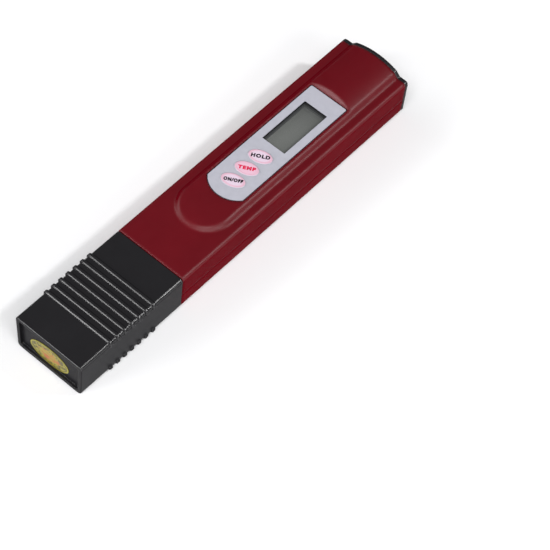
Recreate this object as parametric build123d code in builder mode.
"""Water quality test pen, lying on its back with the face panel up.

+X is to the right when the panel is read, +Y points to the battery end and +Z up.
The origin is the middle of the pen's footprint, on the surface it lies on.
Sizes are in millimetres.
"""
from build123d import *
from math import radians, tan
import os

# Housing section
half_width = 14.0           # at the shoulders beside the ridge
side_draft = 0.5            # each side is this much nearer the middle at the back face
wall = 1.6
top_edge_radius = 1.3
back_edge_radius = 1.6
inner_corner = 0.8
seam_height = 6.7           # parting line of the two shells above the back face
seam_lip = 1.0              # height of the tongue along the parting line
seam_lip_thickness = 0.7
shell_clearance = 0.1
joint_edge = 0.3            # rounding of the edges that meet at the cap joint
slack = 0.01                # how far off an edge may lie when it is picked by its place

# Raised ridge on the face
ridge_rise = 1.7            # shoulders to the flat that carries the panel
arch_rise = 1.8             # flat to the crest of the arch
plain_length = 15.8         # plain stretch of the housing between the cap and the ridge's nose
nose_drop = 0.75
nose_drop_reach = 4.1       # from the middle of the round nose to where the top starts to fall
crescent_slope = 62.0       # degrees, wall between the flat and the arch
end_length = 24.0           # from the foot of that wall to the end of the pen
ridge_crease = 1.2          # rounding where the slopes meet the top
ridge_root = 0.6            # rounding where the slopes meet the shoulders

# Face panel, its window and keys
panel_side = 3.0            # panel beside the window
panel_lead = 14.8           # from the ridge's nose to the tip of the panel
panel_round = 3.8           # from the tip to where the straight sides start
panel_head = 6.75           # from the window to the panel's top edge
crescent_gap = 0.3          # from the panel's top edge to the foot of the arch's wall
panel_corner = 0.7
film_thickness = 0.4
film_recess = 0.5
film_clearance = 0.12
window_width = 9.5
window_length = 21.1
lens_thickness = 0.6
lens_margin = 1.4
power_lead = 7.7            # from the tip of the panel to the middle of the first key
key_pitch = 6.55
key_half_length = 4.3
key_half_width = 2.65
key_turn = 17.0             # degrees, the ovals slant upwards to the right
key_clearance = 0.1
key_flange = 0.3            # how far the hidden flange stands out all round
key_flange_thickness = 0.5
key_stand = 0.2             # top of the key above the film
key_edge = 0.18
key_travel = 0.3
roof_clearance = 0.1

# Protective cap
cap_length = 45.0
joint_gap = 0.2
cap_floor = 1.8
end_recess = 1.0
end_rim = 1.4
rib_count = 7
rib_pitch = 3.17
first_rib = 13.1
rib_width = 1.5
rib_height = 0.6
rib_edge = 0.35             # slant along a rib's crest
rib_reach = 1.0             # how far a rib runs down the side past the corner
label_half_width = 8.1
label_half_height = 4.2
label_offset = -0.6
label_height = 6.0          # centre of the label above the back face
label_thickness = 0.15

# Neck under the cap and probe
neck_clearance = 0.2
neck_wall = 1.5
tip_gap = 5.2               # from the cap's floor to the probe
skirt_length = 14.0
probe_flange = 2.0
probe_plug = 7.0
skirt_wall = 1.4
skirt_step = 0.4
flow_slot_width = 11.0
flow_slot_depth = 8.0
electrode_radius = 0.8
electrode_end = 0.25        # slant at the free end
electrode_spacing = 7.0
electrode_depth = 5.5       # from the end of the skirt to the electrodes' ends
electrode_bend = 2.0
electrode_tail_inset = 2.5  # bent tails from the end of the board
sensor_radius = 1.3
sensor_nose = 1.1           # rounding of the free end
sensor_depth = 6.5
sensor_leg_radius = 0.3
sensor_leg_spacing = 1.2
pin_clearance = 0.03

# Circuit board and what it carries
board_thickness = 1.2
board_side_gap = 1.0
plug_gap = 1.5              # between the probe's plug and the board
tongue_side_gap = 0.7
board_shoulder_gap = 1.7    # between the end wall inside and the wide part of the board
screw_edge = 1.6            # from the screws to the sides of the board
screw_inset = 3.3           # from the ends of the wide part of the board
boss_radius = 1.9
screw_radius = 0.8
screw_head_radius = 1.6
screw_head_height = 1.1
screw_tip_gap = 0.4
screw_clearance = 0.05
switch_size = 6.0
switch_height = 3.1
plunger_radius = 1.7
plunger_stand = 0.7
plunger_depth = 1.5
plunger_clearance = 0.05
frame_wall = 1.0
frame_margin = 2.3          # frame beyond the window at both ends
frame_gap = 0.95            # between the frame and the nearest switch
frame_side = 2.75           # frame beyond the window at both sides
frame_play = 0.4            # from the frame to the ridge's inner sides
frame_roof = 0.9
frame_ledge = 0.35          # how far the frame shows inside the window
display_clearance = 0.15
glass_thickness = 0.9
contact_ledge = 1.8         # width of glass over each contact strip
strip_width = 1.2
chip_radius = 5.5
chip_height = 1.3
chip_slope = 0.9
resistor_size = (2.0, 1.25, 0.5)
capacitor_size = (1.6, 3.2, 1.4)
capacitor_lead = 4.5        # from the capacitors to the first key

# Calibration trimmer and its access hole
trimmer_lead = 5.0          # from the ridge's nose to the trimmer
trimmer_size = 6.6
trimmer_height = 4.5
rotor_radius = 1.9
rotor_height = 1.4
rotor_recess = 0.2
rotor_stem_radius = 0.8
rotor_stem_length = 2.0
rotor_clearance = 0.05
slot_width = 0.6
slot_depth = 0.7
access_radius = 2.0
sleeve_wall = 1.0
sleeve_gap = 0.6            # between the sleeve and the trimmer

# Battery end
cover_thickness = 1.4
cover_gap = 0.1
cover_edge = 0.4
plug_length = 6.0
plug_wall = 1.2
plug_clearance = 0.15
nail_slot_length = 5.2
nail_slot_height = 0.4
nail_slot_depth = 0.7
nail_slot_inset = 4.8       # from the end of the pen to the middle of the slot
cell_radius = 5.8
cell_height = 5.4
cell_button_radius = 4.9
cell_button_height = 0.3
cell_edge = 0.3
cell_play = 0.2
cell_side_play = 0.1
contact_thickness = 0.3
contact_width = 5.0
contact_overlap = 2.2       # leaves past the middle of the cells
contact_tail = 1.4          # over the end of the board
cradle_gap = 0.6            # between the cradle and the battery cap's plug
cradle_rest = 0.4           # cradle beyond the cells
cradle_side_gap = 0.9
cradle_floor = 2.1
cradle_rear_wall = 1.5
cradle_roof = 1.2
cradle_divider = 0.4
cradle_edge = 0.9


# Heights above the back face: the stack of cells, board, switches and keys sets the thickness
contact_floor = wall + cradle_floor
cell_floor = contact_floor + contact_thickness
upper_leaf = cell_floor + cell_height
board_underside = upper_leaf + contact_thickness
board_top = board_underside + board_thickness
plunger_top = board_top + switch_height + plunger_stand
panel_underside = plunger_top + key_flange_thickness + roof_clearance
ridge_flat = panel_underside + wall
film_floor = ridge_flat - film_recess
film_top = film_floor + film_thickness
thickness = ridge_flat - ridge_rise
shoulder_underside = thickness - wall
probe_height = thickness / 2
pin_top = board_top + board_thickness / 2

# Distances from the middle and insets of the section
frame_half_width = window_width / 2 + frame_side
ridge_inner_half_width = frame_half_width + frame_play
ridge_top_half_width = ridge_inner_half_width + wall / 2
ridge_half_width = ridge_top_half_width + ridge_rise
panel_half_width = window_width / 2 + panel_side
neck_inset = wall + neck_clearance
bore_inset = neck_inset + neck_wall
board_half_width = half_width - wall - board_side_gap
tongue_half_width = half_width - bore_inset - tongue_side_gap
screw_side = board_half_width - screw_edge
cell_spacing = 2 * (cell_radius + cell_side_play) + cradle_divider
cradle_half_width = half_width - wall - cradle_side_gap

# Places along the pen, measured from the cap's closed end
cap_floor_face = end_recess + cap_floor
probe_tip = cap_floor_face + tip_gap
probe_face = probe_tip + skirt_length
neck_end = probe_face + probe_flange
board_start = neck_end + probe_plug + plug_gap
electrode_tail = board_start + electrode_tail_inset
body_start = cap_length + joint_gap
body_inner_start = body_start + wall
tongue_end = body_inner_start + board_shoulder_gap
nose_tip = body_start + plain_length
nose_centre = nose_tip + ridge_half_width
trimmer_place = nose_tip + trimmer_lead
panel_tip = nose_tip + panel_lead
power_place = panel_tip + power_lead
temp_place = power_place + key_pitch
hold_place = temp_place + key_pitch
key_places = {"hold": hold_place, "temp": temp_place, "power": power_place}
frame_length = window_length + 2 * frame_margin
window_centre = hold_place + switch_size / 2 + frame_gap + frame_length / 2
panel_top = window_centre + window_length / 2 + panel_head
crescent_start = panel_top + crescent_gap
length = crescent_start + end_length
cover_face = length - cover_thickness
shell_end = cover_face - cover_gap
cradle_end = cover_face - plug_length - cradle_gap
cell_place = cradle_end - cradle_rest - cell_radius
cradle_inner_start = cell_place - cell_radius - cell_play - contact_thickness
cradle_start = cradle_inner_start - cradle_rear_wall
board_end = cradle_start - contact_thickness - shell_clearance
contact_reach = cell_place + contact_overlap
screw_places = (tongue_end + screw_inset, board_end - screw_inset)


def along(distance):
    """Y of a place measured from the cap's closed end."""
    return distance - length / 2


def above(height):
    """Z of a height above the back face, which the grip ribs hold off the surface."""
    return rib_height + height


def cross(distance):
    """Plane across the pen: its x is +X, its y is +Z, and a positive extrusion goes to the cap."""
    return Plane.XZ.offset(-along(distance))


def level(height):
    """Horizontal plane at a height above the back face."""
    return Plane.XY.offset(above(height))


def half_width_at(height):
    """Half of the outer width at a height above the back face."""
    return half_width - side_draft * (1 - height / thickness)


def tub_outline(inset, top_radius, back_radius):
    """Section of the pen without the ridge, moved inwards by a wall."""
    low = half_width_at(inset) - inset
    high = half_width_at(thickness - inset) - inset
    with BuildSketch() as outline:
        with BuildLine():
            Polyline(
                (-low, above(inset)),
                (low, above(inset)),
                (high, above(thickness - inset)),
                (-high, above(thickness - inset)),
                close=True,
            )
        make_face()
        fillet(outline.vertices().group_by(Axis.Y)[-1], top_radius)
        fillet(outline.vertices().group_by(Axis.Y)[0], back_radius)
    return outline.sketch


def arch_outline(half, base, crest):
    """Shallow arch over a straight base."""
    with BuildSketch() as outline:
        with BuildLine():
            ThreePointArc((-half, base), (0, crest), (half, base))
            Line((half, base), (-half, base))
        make_face()
    return outline.sketch


def panel_outline(grow):
    """Outline of the face panel: square top corners and a round lower end."""
    with BuildSketch() as outline:
        with BuildLine():
            Polyline(
                (-panel_half_width, along(panel_tip + panel_round)),
                (-panel_half_width, along(panel_top)),
                (panel_half_width, along(panel_top)),
                (panel_half_width, along(panel_tip + panel_round)),
            )
            ThreePointArc(
                (panel_half_width, along(panel_tip + panel_round)),
                (0, along(panel_tip)),
                (-panel_half_width, along(panel_tip + panel_round)),
            )
        make_face()
        fillet(outline.vertices(), panel_corner)
        if grow:
            offset(amount=grow)
    return outline.sketch


def key_outline(grow):
    """One oval key about its own centre."""
    with BuildSketch() as outline:
        Ellipse(key_half_length + grow, key_half_width + grow, rotation=key_turn)
    return outline.sketch


def rib_outline(rise):
    """Section of the cap grown by a rib's rise, with the flats of both sides left free of it."""
    buried = half_width - side_draft - rib_height / 2
    proud = half_width + 2 * rib_height
    fade = proud - buried
    low = back_edge_radius + rib_reach
    high = thickness - top_edge_radius - rib_reach
    with BuildSketch() as outline:
        add(tub_outline(0, top_edge_radius, back_edge_radius))
        offset(amount=rise)
        for side in (-1, 1):
            with BuildLine():
                Polyline(
                    (side * buried, above(low)),
                    (side * buried, above(high)),
                    (side * proud, above(high + fade)),
                    (side * proud, above(low - fade)),
                    close=True,
                )
            make_face(mode=Mode.SUBTRACT)
    return outline.sketch


def finish(part, name):
    """Label a piece and write its file."""
    part.label = name
    export_step(part, f"parts/{name}.step")


os.makedirs("parts", exist_ok=True)

# Outer form of the housing and battery cap, solid
with BuildPart() as pen_form:
    with BuildSketch(cross(body_start)):
        add(tub_outline(0, top_edge_radius, back_edge_radius))
    extrude(amount=-(length - body_start))
    with BuildSketch(cross(nose_centre)):
        with BuildLine():
            Polyline(
                (-ridge_half_width, above(thickness)),
                (ridge_half_width, above(thickness)),
                (ridge_top_half_width, above(ridge_flat)),
                (-ridge_top_half_width, above(ridge_flat)),
                close=True,
            )
        make_face()
    extrude(amount=-(length - nose_centre))
    with BuildSketch(cross(nose_centre)):
        with BuildLine():
            Polyline(
                (0, above(thickness)),
                (ridge_half_width, above(thickness)),
                (ridge_top_half_width, above(ridge_flat)),
                (0, above(ridge_flat)),
                close=True,
            )
        make_face()
    revolve(axis=Axis((0, along(nose_centre), 0), (0, 0, 1)))
    # The top surface falls gently towards the nose
    with BuildSketch(Plane.YZ):
        fall_start = along(nose_centre + nose_drop_reach)
        with BuildLine():
            TangentArc(
                (fall_start, above(ridge_flat)),
                (along(nose_tip), above(ridge_flat - nose_drop)),
                tangent=(-1, 0),
            )
            Polyline(
                (along(nose_tip), above(ridge_flat - nose_drop)),
                (along(nose_tip), above(ridge_flat + arch_rise)),
                (fall_start, above(ridge_flat + arch_rise)),
                (fall_start, above(ridge_flat)),
            )
        make_face()
    extrude(amount=ridge_half_width, both=True, mode=Mode.SUBTRACT)
    creases = (
        pen_form.edges()
        .filter_by(Axis.X, reverse=True)
        .filter_by(lambda edge: edge.center().Z > above(thickness + ridge_rise / 2))
        .filter_by(lambda edge: edge.center().Y < along(length) - ridge_crease)
    )
    fillet(creases, ridge_crease)
    # The arch stands on the flat from the panel's top edge to the end
    with BuildSketch(cross(crescent_start)) as arch_section:
        with BuildLine():
            Polyline(
                (-ridge_top_half_width, above(ridge_flat)),
                (-ridge_half_width, above(thickness)),
                (ridge_half_width, above(thickness)),
                (ridge_top_half_width, above(ridge_flat)),
            )
            ThreePointArc(
                (ridge_top_half_width, above(ridge_flat)),
                (0, above(ridge_flat + arch_rise)),
                (-ridge_top_half_width, above(ridge_flat)),
            )
        make_face()
        fillet(arch_section.vertices().group_by(Axis.Y)[-1], ridge_crease)
    extrude(amount=-(length - crescent_start))
    crescent_run = arch_rise / tan(radians(crescent_slope))
    with BuildSketch(Plane.YZ):
        with BuildLine():
            Polyline(
                (along(crescent_start), above(ridge_flat)),
                (along(crescent_start + crescent_run), above(ridge_flat + arch_rise)),
                (along(crescent_start), above(ridge_flat + arch_rise)),
                close=True,
            )
        make_face()
    extrude(amount=ridge_half_width, both=True, mode=Mode.SUBTRACT)
    roots = (
        pen_form.edges()
        .filter_by_position(Axis.Z, above(thickness) - slack, above(thickness) + slack)
        .filter_by(lambda edge: abs(edge.center().X) < ridge_half_width + slack)
        .filter_by(Axis.X, reverse=True)
    )
    fillet(roots, ridge_root)
    fillet(pen_form.faces().sort_by(Axis.Y)[0].edges(), joint_edge)

# The housing as one hollow tube with its neck, before it is parted into two shells
with BuildPart() as housing_tube:
    add(pen_form.part)
    split(bisect_by=cross(shell_end), keep=Keep.TOP)
    with BuildSketch(cross(neck_end)):
        add(tub_outline(neck_inset, inner_corner, inner_corner))
    extrude(amount=-(body_inner_start - neck_end))
    with BuildSketch(cross(neck_end)):
        add(tub_outline(bore_inset, inner_corner, inner_corner))
    extrude(amount=-(body_inner_start - neck_end), mode=Mode.SUBTRACT)
    with BuildSketch(cross(body_inner_start)):
        add(tub_outline(wall, inner_corner, inner_corner))
    extrude(amount=-(shell_end - body_inner_start), mode=Mode.SUBTRACT)
    # Hollow of the ridge, with the same round nose as outside
    with BuildSketch(level(shoulder_underside)):
        with BuildLine():
            Polyline(
                (-ridge_inner_half_width, along(nose_centre)),
                (-ridge_inner_half_width, along(shell_end)),
                (ridge_inner_half_width, along(shell_end)),
                (ridge_inner_half_width, along(nose_centre)),
            )
            ThreePointArc(
                (ridge_inner_half_width, along(nose_centre)),
                (0, along(nose_centre - ridge_inner_half_width)),
                (-ridge_inner_half_width, along(nose_centre)),
            )
        make_face()
    extrude(amount=panel_underside - shoulder_underside, mode=Mode.SUBTRACT)
    with BuildSketch(cross(crescent_start + wall)):
        add(arch_outline(ridge_inner_half_width, above(panel_underside), above(panel_underside + arch_rise)))
    extrude(amount=-(shell_end - crescent_start - wall), mode=Mode.SUBTRACT)

# Tongue and groove along the parting line, on both sides
lip_start = body_inner_start + seam_lip
lip_end = shell_end - plug_length - seam_lip
lip_inner = half_width_at(seam_height) - wall
lip_outer = lip_inner + seam_lip_thickness

with BuildPart() as front_shell:
    add(housing_tube.part)
    split(bisect_by=level(seam_height), keep=Keep.TOP)
    with BuildSketch(level(seam_height - seam_lip)):
        for side in (-1, 1):
            with Locations((side * (lip_inner + lip_outer) / 2, along((lip_start + lip_end) / 2))):
                Rectangle(seam_lip_thickness, lip_end - lip_start)
    extrude(amount=seam_lip)
    # Seat of the face film, window, key guides and lens seat
    with BuildSketch(level(film_floor)):
        add(panel_outline(film_clearance))
    extrude(amount=ridge_rise + arch_rise, mode=Mode.SUBTRACT)
    with BuildSketch(level(panel_underside)):
        with Locations((0, along(window_centre))):
            Rectangle(window_width, window_length)
        with Locations([(0, along(place)) for place in key_places.values()]):
            add(key_outline(key_clearance))
    extrude(amount=wall, mode=Mode.SUBTRACT)
    with BuildSketch(level(panel_underside)):
        with Locations((0, along(window_centre))):
            Rectangle(
                window_width + 2 * lens_margin + 2 * shell_clearance,
                window_length + 2 * lens_margin + 2 * shell_clearance,
            )
    extrude(amount=lens_thickness, mode=Mode.SUBTRACT)
    # Bosses for the board's screws
    with BuildSketch(level(board_top)):
        for place in screw_places:
            with Locations((-screw_side, along(place)), (screw_side, along(place))):
                Circle(boss_radius)
    extrude(amount=shoulder_underside + wall / 2 - board_top)
    with BuildSketch(level(board_top)):
        for place in screw_places:
            with Locations((-screw_side, along(place)), (screw_side, along(place))):
                Circle(screw_radius + screw_clearance)
    extrude(amount=shoulder_underside - board_top, mode=Mode.SUBTRACT)
    # Nail slots at the battery end, in both sides at the parting line
    with BuildSketch(level(seam_height)):
        for side in (-1, 1):
            with Locations((side * half_width_at(seam_height), along(length - nail_slot_inset))):
                Rectangle(2 * nail_slot_depth, nail_slot_length)
    extrude(amount=nail_slot_height, mode=Mode.SUBTRACT)
finish(front_shell.part, "front_shell")

with BuildPart() as back_shell:
    add(housing_tube.part)
    split(bisect_by=level(seam_height), keep=Keep.BOTTOM)
    with BuildSketch(level(seam_height)):
        groove = seam_lip_thickness + 2 * shell_clearance
        for side in (-1, 1):
            with Locations((side * (lip_outer + shell_clearance - groove / 2), along((lip_start + lip_end) / 2))):
                Rectangle(groove, lip_end - lip_start + 2 * shell_clearance)
    extrude(amount=-(seam_lip + shell_clearance), mode=Mode.SUBTRACT)
    # Access hole to the calibration screw, with a sleeve that guides the screwdriver
    sleeve_top = board_underside - trimmer_height - sleeve_gap
    with BuildSketch(level(wall)):
        with Locations((0, along(trimmer_place))):
            Circle(access_radius + sleeve_wall)
    extrude(amount=sleeve_top - wall)
    with BuildSketch(level(0)):
        with Locations((0, along(trimmer_place))):
            Circle(access_radius)
    extrude(amount=sleeve_top, mode=Mode.SUBTRACT)
finish(back_shell.part, "back_shell")

# Grip rib at the cap's closed end, with its crest narrower than its foot
rib_profile = (
    (-rib_width / 2, rib_height - rib_edge),
    (rib_edge - rib_width / 2, rib_height),
    (rib_width / 2 - rib_edge, rib_height),
    (rib_width / 2, rib_height - rib_edge),
)
with BuildPart() as grip_rib:
    for place, rise in rib_profile:
        with BuildSketch(cross(place)):
            add(rib_outline(rise))
    loft(ruled=True)

with BuildPart() as protective_cap:
    with BuildSketch(cross(0)):
        add(tub_outline(0, top_edge_radius, back_edge_radius))
    extrude(amount=-cap_length)
    fillet(protective_cap.faces().filter_by(Axis.Y).edges(), joint_edge)
    with Locations([(0, first_rib + i * rib_pitch, 0) for i in range(rib_count)]):
        add(grip_rib.part)
    with BuildSketch(cross(0)):
        add(tub_outline(end_rim, inner_corner, inner_corner))
    extrude(amount=-end_recess, mode=Mode.SUBTRACT)
    with BuildSketch(cross(cap_length)):
        add(tub_outline(wall, inner_corner, inner_corner))
    extrude(amount=cap_length - cap_floor_face, mode=Mode.SUBTRACT)
finish(protective_cap.part, "protective_cap")

with BuildPart() as cap_label:
    with BuildSketch(cross(end_recess)):
        with Locations((label_offset, above(label_height))):
            Ellipse(label_half_width, label_half_height)
    extrude(amount=label_thickness)
finish(cap_label.part, "cap_label")

# Battery cap: a plate of the housing's own outline with a plug that enters the housing
with BuildPart() as battery_cap:
    add(pen_form.part)
    split(bisect_by=cross(cover_face), keep=Keep.BOTTOM)
    fillet(battery_cap.faces().sort_by(Axis.Y)[-1].edges(), cover_edge)
    with BuildSketch(cross(cover_face)):
        add(tub_outline(wall + plug_clearance, inner_corner, inner_corner))
        add(
            tub_outline(wall + plug_clearance + plug_wall, inner_corner, inner_corner),
            mode=Mode.SUBTRACT,
        )
    extrude(amount=plug_length)
finish(battery_cap.part, "battery_cap")

with BuildPart() as face_overlay:
    with BuildSketch(level(film_floor)):
        add(panel_outline(0))
        with Locations((0, along(window_centre))):
            Rectangle(window_width, window_length, mode=Mode.SUBTRACT)
        with Locations([(0, along(place)) for place in key_places.values()]):
            add(key_outline(key_clearance), mode=Mode.SUBTRACT)
    extrude(amount=film_thickness)
finish(face_overlay.part, "face_overlay")

with BuildPart() as window_lens:
    with BuildSketch(level(panel_underside)):
        with Locations((0, along(window_centre))):
            Rectangle(window_width + 2 * lens_margin, window_length + 2 * lens_margin)
    extrude(amount=lens_thickness)
finish(window_lens.part, "window_lens")

# Each key with its retaining flange, its switch and the plunger between them
for name, place in key_places.items():
    with BuildPart() as key:
        with BuildSketch(level(plunger_top)):
            with Locations((0, along(place))):
                add(key_outline(key_flange))
        extrude(amount=key_flange_thickness)
        with BuildSketch(level(plunger_top)):
            with Locations((0, along(place))):
                add(key_outline(0))
        extrude(amount=film_top + key_stand - plunger_top)
        chamfer(key.faces().sort_by(Axis.Z)[-1].edges(), key_edge)
    finish(key.part, f"{name}_button")

    with BuildPart() as switch:
        with BuildSketch(level(board_top)):
            with Locations((0, along(place))):
                Rectangle(switch_size, switch_size)
        extrude(amount=switch_height)
        fillet(switch.edges().filter_by(Axis.Z), inner_corner)
        with BuildSketch(level(board_top + switch_height)):
            with Locations((0, along(place))):
                Circle(plunger_radius + plunger_clearance)
        extrude(amount=-(plunger_depth + key_travel + plunger_clearance), mode=Mode.SUBTRACT)
    finish(switch.part, f"{name}_switch")

    with BuildPart() as plunger:
        with BuildSketch(level(plunger_top)):
            with Locations((0, along(place))):
                Circle(plunger_radius)
        extrude(amount=-(plunger_stand + plunger_depth))
    finish(plunger.part, f"{name}_plunger")

# Circuit board: a tongue in the neck and a wide part in the body
with BuildPart() as circuit_board:
    with BuildSketch(level(board_top)):
        with Locations((0, along((tongue_end + board_end) / 2))):
            Rectangle(2 * board_half_width, board_end - tongue_end)
        with Locations((0, along((board_start + tongue_end) / 2))):
            Rectangle(2 * tongue_half_width, tongue_end - board_start)
        for place in screw_places:
            with Locations((-screw_side, along(place)), (screw_side, along(place))):
                Circle(screw_radius + screw_clearance, mode=Mode.SUBTRACT)
        with Locations((0, along(electrode_tail))):
            with GridLocations(electrode_spacing, 0, 2, 1):
                Circle(electrode_radius + pin_clearance, mode=Mode.SUBTRACT)
            with GridLocations(sensor_leg_spacing, 0, 2, 1):
                Circle(sensor_leg_radius + pin_clearance, mode=Mode.SUBTRACT)
    extrude(amount=-board_thickness)
finish(circuit_board.part, "circuit_board")

with BuildPart() as board_screws:
    for place in screw_places:
        with BuildSketch(level(board_underside)):
            with Locations((-screw_side, along(place)), (screw_side, along(place))):
                Circle(screw_radius)
        extrude(amount=shoulder_underside - screw_tip_gap - board_underside)
        with BuildSketch(level(board_underside)):
            with Locations((-screw_side, along(place)), (screw_side, along(place))):
                Circle(screw_head_radius)
        extrude(amount=-screw_head_height)
finish(board_screws.part, "board_screws")

# Frame, display glass and the elastomer strips that join it to the board
glass_half_width = frame_half_width - frame_wall - display_clearance
glass_length = frame_length - 2 * frame_wall - 2 * display_clearance
glass_top = panel_underside - frame_roof
with BuildPart() as lcd_frame:
    with BuildSketch(level(board_top)):
        with Locations((0, along(window_centre))):
            Rectangle(2 * frame_half_width, frame_length)
    extrude(amount=panel_underside - board_top)
    with BuildSketch(level(board_top)):
        with Locations((0, along(window_centre))):
            Rectangle(2 * (frame_half_width - frame_wall), frame_length - 2 * frame_wall)
    extrude(amount=glass_top - board_top, mode=Mode.SUBTRACT)
    with BuildSketch(level(glass_top)):
        with Locations((0, along(window_centre))):
            Rectangle(window_width - 2 * frame_ledge, window_length - 2 * frame_ledge)
    extrude(amount=frame_roof, mode=Mode.SUBTRACT)
finish(lcd_frame.part, "lcd_frame")

with BuildPart() as lcd_cell:
    with BuildSketch(level(glass_top)):
        with Locations((0, along(window_centre))):
            Rectangle(2 * glass_half_width, glass_length)
    extrude(amount=-glass_thickness)
    with BuildSketch(level(glass_top - glass_thickness)):
        with Locations((0, along(window_centre))):
            Rectangle(2 * (glass_half_width - contact_ledge), glass_length)
    extrude(amount=-glass_thickness)
finish(lcd_cell.part, "lcd_cell")

with BuildPart() as contact_strips:
    with BuildSketch(level(board_top)):
        with Locations((0, along(window_centre))):
            with GridLocations(2 * glass_half_width - contact_ledge, 0, 2, 1):
                Rectangle(strip_width, glass_length)
    extrude(amount=glass_top - glass_thickness - board_top)
finish(contact_strips.part, "contact_strips")

with BuildPart() as chip:
    with BuildSketch(level(board_underside)):
        with Locations((0, along(window_centre))):
            Circle(chip_radius)
    extrude(amount=-chip_height)
    chamfer(chip.edges().group_by(Axis.Z)[0], chip_slope)
finish(chip.part, "chip")

with BuildPart() as resistors:
    with Locations((0, along(temp_place), above(board_underside))):
        with GridLocations(2 * resistor_size[0], 3 * resistor_size[1], 3, 3):
            Box(*resistor_size, align=(Align.CENTER, Align.CENTER, Align.MAX))
finish(resistors.part, "resistors")

with BuildPart() as capacitors:
    with Locations((0, along(power_place - capacitor_lead), above(board_underside))):
        with GridLocations(3 * capacitor_size[0], capacitor_size[1], 3, 1):
            Box(*capacitor_size, align=(Align.CENTER, Align.CENTER, Align.MAX))
finish(capacitors.part, "capacitors")

# Calibration trimmer with its slotted rotor facing the back
rotor_face = board_underside - trimmer_height + rotor_recess
with BuildPart() as trimmer_body:
    with BuildSketch(level(board_underside)):
        with Locations((0, along(trimmer_place))):
            Rectangle(trimmer_size, trimmer_size)
    extrude(amount=-trimmer_height)
    with BuildSketch(level(board_underside - trimmer_height)):
        with Locations((0, along(trimmer_place))):
            Circle(rotor_radius + rotor_clearance)
    extrude(amount=rotor_recess + rotor_height + rotor_clearance, mode=Mode.SUBTRACT)
    with BuildSketch(level(rotor_face + rotor_height)):
        with Locations((0, along(trimmer_place))):
            Circle(rotor_stem_radius + rotor_clearance)
    extrude(amount=rotor_stem_length + rotor_clearance, mode=Mode.SUBTRACT)
finish(trimmer_body.part, "trimmer_body")

with BuildPart() as calibration_screw:
    with BuildSketch(level(rotor_face)):
        with Locations((0, along(trimmer_place))):
            Circle(rotor_radius)
    extrude(amount=rotor_height)
    with BuildSketch(level(rotor_face + rotor_height)):
        with Locations((0, along(trimmer_place))):
            Circle(rotor_stem_radius)
    extrude(amount=rotor_stem_length)
    with BuildSketch(level(rotor_face)):
        with Locations((0, along(trimmer_place))):
            Rectangle(2 * rotor_radius, slot_width)
            Rectangle(slot_width, rotor_radius)
    extrude(amount=slot_depth, mode=Mode.SUBTRACT)
finish(calibration_screw.part, "calibration_screw")

# Button cells, both with their positive side to the front
for side, name in ((-1, "battery_left"), (1, "battery_right")):
    x = side * cell_spacing / 2
    with BuildPart() as cell:
        with BuildSketch(level(cell_floor)):
            with Locations((x, along(cell_place))):
                Circle(cell_button_radius)
        extrude(amount=cell_height)
        with BuildSketch(level(cell_floor + cell_button_height)):
            with Locations((x, along(cell_place))):
                Circle(cell_radius)
        extrude(amount=cell_height - cell_button_height)
        chamfer(cell.edges().filter_by(GeomType.CIRCLE).sort_by(SortBy.RADIUS)[-2:], cell_edge)
    finish(cell.part, name)

# Cradle: floor and roof plates, a rear wall and a thin divider between the cells
with BuildPart() as battery_cradle:
    rear_middle = along(cradle_start + cradle_rear_wall / 2)
    with BuildSketch(level(wall)):
        with Locations((0, along((cradle_start + cradle_end) / 2))):
            Rectangle(2 * cradle_half_width, cradle_end - cradle_start)
    extrude(amount=contact_floor - wall)
    with BuildSketch(level(board_underside)):
        with Locations((0, along((cradle_start + cradle_end) / 2))):
            Rectangle(2 * cradle_half_width, cradle_end - cradle_start)
    extrude(amount=cradle_roof)
    with BuildSketch(level(contact_floor)):
        with Locations((0, rear_middle)):
            Rectangle(2 * cradle_half_width, cradle_rear_wall)
        divider_start = cradle_inner_start + 2 * contact_thickness
        with Locations((0, along((divider_start + cradle_end) / 2))):
            Rectangle(cradle_divider, cradle_end - divider_start)
    extrude(amount=board_underside - contact_floor)
    # Slots in the rear wall for the two contacts that reach the board
    slot_height = contact_thickness + shell_clearance
    with Locations((-cell_spacing / 2, rear_middle, above(board_underside))):
        Box(
            contact_width + 2 * shell_clearance,
            cradle_rear_wall,
            slot_height,
            align=(Align.CENTER, Align.CENTER, Align.MAX),
            mode=Mode.SUBTRACT,
        )
    with Locations((cell_spacing / 2, rear_middle, above(contact_floor))):
        Box(
            contact_width + 2 * shell_clearance,
            cradle_rear_wall,
            slot_height,
            align=(Align.CENTER, Align.CENTER, Align.MIN),
            mode=Mode.SUBTRACT,
        )
    long_edges = battery_cradle.edges().filter_by(Axis.Y).group_by(Axis.Z)[0]
    chamfer(long_edges, cradle_edge)
finish(battery_cradle.part, "battery_cradle")


def contact_leaf(x, start, height):
    """Flat spring leaf along the pen that ends past the middle of a cell."""
    with BuildPart() as leaf:
        with BuildSketch(level(height)):
            with Locations((x, along((start + contact_reach) / 2))):
                Rectangle(contact_width, contact_reach - start)
        extrude(amount=contact_thickness)
    return leaf.part


tail_start = board_end - contact_tail
with BuildPart() as positive_contact:
    add(contact_leaf(-cell_spacing / 2, tail_start, upper_leaf))
finish(positive_contact.part, "positive_contact")

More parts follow.
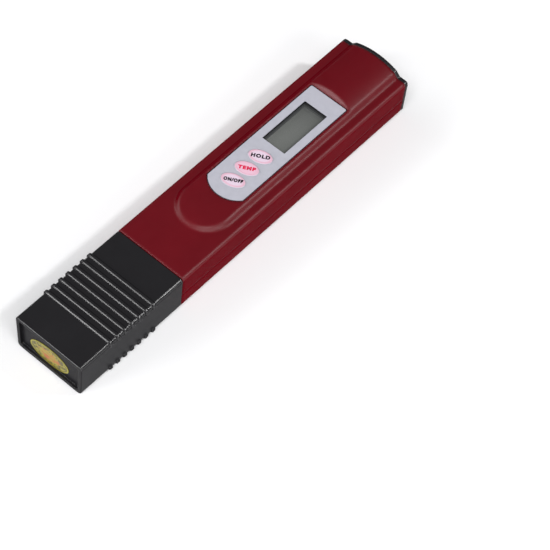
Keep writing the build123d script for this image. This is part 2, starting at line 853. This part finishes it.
# The negative contact climbs behind the cradle's rear wall to the board
with BuildPart() as negative_contact:
    climb = cradle_start - contact_thickness
    add(contact_leaf(cell_spacing / 2, climb, contact_floor))
    with BuildSketch(Plane.YZ.offset((cell_spacing - contact_width) / 2)):
        with BuildLine():
            Polyline(
                (along(climb), above(contact_floor)),
                (along(cradle_start), above(contact_floor)),
                (along(cradle_start), above(board_underside)),
                (along(tail_start), above(board_underside)),
                (along(tail_start), above(upper_leaf)),
                (along(climb), above(upper_leaf)),
                close=True,
            )
        make_face()
    extrude(amount=contact_width)
finish(negative_contact.part, "negative_contact")

# The bridge joins the left cell's underside to the right cell's top
bridge_low = contact_floor + cell_height / 3
bridge_high = contact_floor + 2 * cell_height / 3
with BuildPart() as bridge_contact:
    add(contact_leaf(-cell_spacing / 2, cradle_inner_start, contact_floor))
    add(contact_leaf(cell_spacing / 2, cradle_inner_start, upper_leaf))
    with BuildSketch(cross(cradle_inner_start)):
        with BuildLine():
            outer = (cell_spacing + contact_width) / 2
            inner = (cell_spacing - contact_width) / 2
            Polyline(
                (-outer, above(contact_floor)),
                (-inner, above(contact_floor)),
                (-inner, above(bridge_low)),
                (outer, above(bridge_low)),
                (outer, above(board_underside)),
                (inner, above(board_underside)),
                (inner, above(bridge_high)),
                (-outer, above(bridge_high)),
                close=True,
            )
        make_face()
    extrude(amount=-contact_thickness)
finish(bridge_contact.part, "bridge_contact")

# Probe block: plug in the neck, flange on its end, and a skirt that guards the electrodes
with BuildPart() as probe_block:
    with BuildSketch(cross(neck_end)):
        add(tub_outline(bore_inset + shell_clearance, inner_corner, inner_corner))
    extrude(amount=-probe_plug)
    with BuildSketch(cross(neck_end)):
        add(tub_outline(neck_inset, inner_corner, inner_corner))
    extrude(amount=probe_flange)
    with BuildSketch(cross(probe_face)):
        add(tub_outline(neck_inset + skirt_step, inner_corner, inner_corner))
        add(
            tub_outline(neck_inset + skirt_step + skirt_wall, inner_corner, inner_corner),
            mode=Mode.SUBTRACT,
        )
    extrude(amount=probe_face - probe_tip)
    with BuildSketch(level(0)):
        with Locations((0, along(probe_tip + flow_slot_depth - flow_slot_width / 2))):
            Circle(flow_slot_width / 2)
        with Locations((0, along(probe_tip + flow_slot_depth / 2 - flow_slot_width / 4))):
            Rectangle(flow_slot_width, flow_slot_depth - flow_slot_width / 2)
    extrude(amount=thickness, mode=Mode.SUBTRACT)
    with BuildSketch(cross(probe_face)):
        with Locations((0, above(probe_height))):
            with GridLocations(electrode_spacing, 0, 2, 1):
                Circle(electrode_radius + pin_clearance)
            Circle(sensor_radius + pin_clearance)
    extrude(amount=-(probe_flange + probe_plug), mode=Mode.SUBTRACT)
finish(probe_block.part, "probe_block")


def bent_pin(x, radius, tip):
    """Round pin along the pen that turns up through the board at its tail."""
    with BuildPart() as pin:
        with BuildLine(Plane.YZ.offset(x)) as route:
            FilletPolyline(
                (along(tip), above(probe_height)),
                (along(electrode_tail), above(probe_height)),
                (along(electrode_tail), above(pin_top)),
                radius=electrode_bend,
            )
        with BuildSketch(Plane(origin=route.line @ 0, z_dir=route.line % 0)):
            Circle(radius)
        sweep(path=route.line)
    return pin.part


for side, name in ((-1, "electrode_left"), (1, "electrode_right")):
    with BuildPart() as electrode:
        add(bent_pin(side * electrode_spacing / 2, electrode_radius, probe_tip + electrode_depth))
        chamfer(electrode.faces().sort_by(Axis.Y)[0].edges(), electrode_end)
    finish(electrode.part, name)

# Temperature sensor: a round-nosed capsule with two legs
with BuildPart() as thermistor:
    with BuildSketch(cross(probe_tip + sensor_depth)):
        with Locations((0, above(probe_height))):
            Circle(sensor_radius)
    extrude(amount=-(probe_face + probe_flange - probe_tip - sensor_depth))
    fillet(thermistor.faces().sort_by(Axis.Y)[0].edges(), sensor_nose)
    for side in (-1, 1):
        add(bent_pin(side * sensor_leg_spacing / 2, sensor_leg_radius, neck_end))
finish(thermistor.part, "thermistor")
